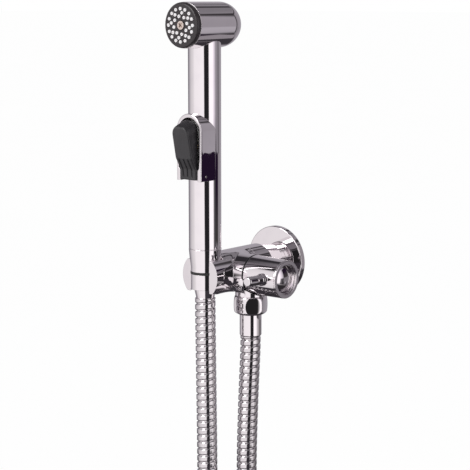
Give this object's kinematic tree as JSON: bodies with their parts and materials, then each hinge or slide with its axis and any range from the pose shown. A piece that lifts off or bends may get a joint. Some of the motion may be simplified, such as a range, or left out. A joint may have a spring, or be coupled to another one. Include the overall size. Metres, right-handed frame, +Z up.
{
  "type": "handheld bidet shower",
  "caption": "Chromed handheld bidet shower with a trigger, resting in the fork of a wall stop valve and joined to it by a metal hose.",
  "frame": {"origin": "on the inlet axis at the wall plane", "axes": "+Z up, +Y into the wall, +X along the knob; the spray faces -Y"},
  "size_m": [0.0966, 0.1436, 0.6825],
  "materials": {
    "polished_chrome": "mirror polished chrome plating",
    "hose_chrome": "bright chrome on wound steel strip",
    "black_face": "satin black plastic",
    "black_trigger": "satin black plastic",
    "black_trim": "plain black",
    "white_silicone": "white silicone",
    "black_rubber": "black rubber",
    "white_plastic": "plain",
    "white_ceramic": "fine ground ceramic",
    "steel": "plain steel",
    "brass": "machined brass"
  },
  "bodies": {
    "fixed": {"head_shell": "polished_chrome", "spray_face": "black_face", "nozzle_mat": "white_silicone", "face_screw": "steel", "face_seal": "black_rubber", "handle_tube": "polished_chrome", "handle_collar": "polished_chrome", "collar_ring": "black_rubber", "trigger_housing": "polished_chrome", "trigger_pin": "steel", "valve_insert": "white_plastic", "plunger_oring": "black_rubber", "plunger_spring": "steel", "cone_nut": "polished_chrome", "hose_seal_top": "black_rubber", "hose": "hose_chrome", "hose_ferrule": "polished_chrome", "hex_nut": "polished_chrome", "hose_seal_low": "black_rubber", "stop_body": "polished_chrome", "wall_flange": "polished_chrome", "cartridge": "brass", "disc_fixed": "white_ceramic", "seat_seal": "black_rubber", "knob_ring": "black_trim"},
    "turning": {"knob": "polished_chrome", "knob_peg": "polished_chrome", "knob_cap": "polished_chrome", "knob_screw": "steel", "knob_mark": "black_trim", "spindle": "brass", "disc_moving": "white_ceramic"},
    "trigger": {"trigger_lever": "black_trigger"},
    "plunger": {"plunger": "brass", "plunger_disc": "black_rubber"}
  },
  "joints": [
    {"name": "knob_turn", "type": "hinge", "parent": "fixed", "child": "turning", "pos_m": [0, -0.0606, 0], "axis": [-1, 0, 0], "range_deg": [0, 90]},
    {"name": "trigger_press", "type": "hinge", "parent": "fixed", "child": "trigger", "pos_m": [0, -0.1002, 0.0777], "axis": [-1, 0, 0], "range_deg": [0, 8], "stiffness_Nm_per_rad": 0.6, "springref_deg": -2.86},
    {"name": "plunger_slide", "type": "slide", "parent": "fixed", "child": "plunger", "axis": [0, 1, 0], "range_m": [0, 0.0034], "deforming": ["plunger_spring"]}
  ],
  "couplings": [
    {"joint": "plunger_slide", "follows": "trigger_press", "m_per_rad": 0.0238}
  ]
}
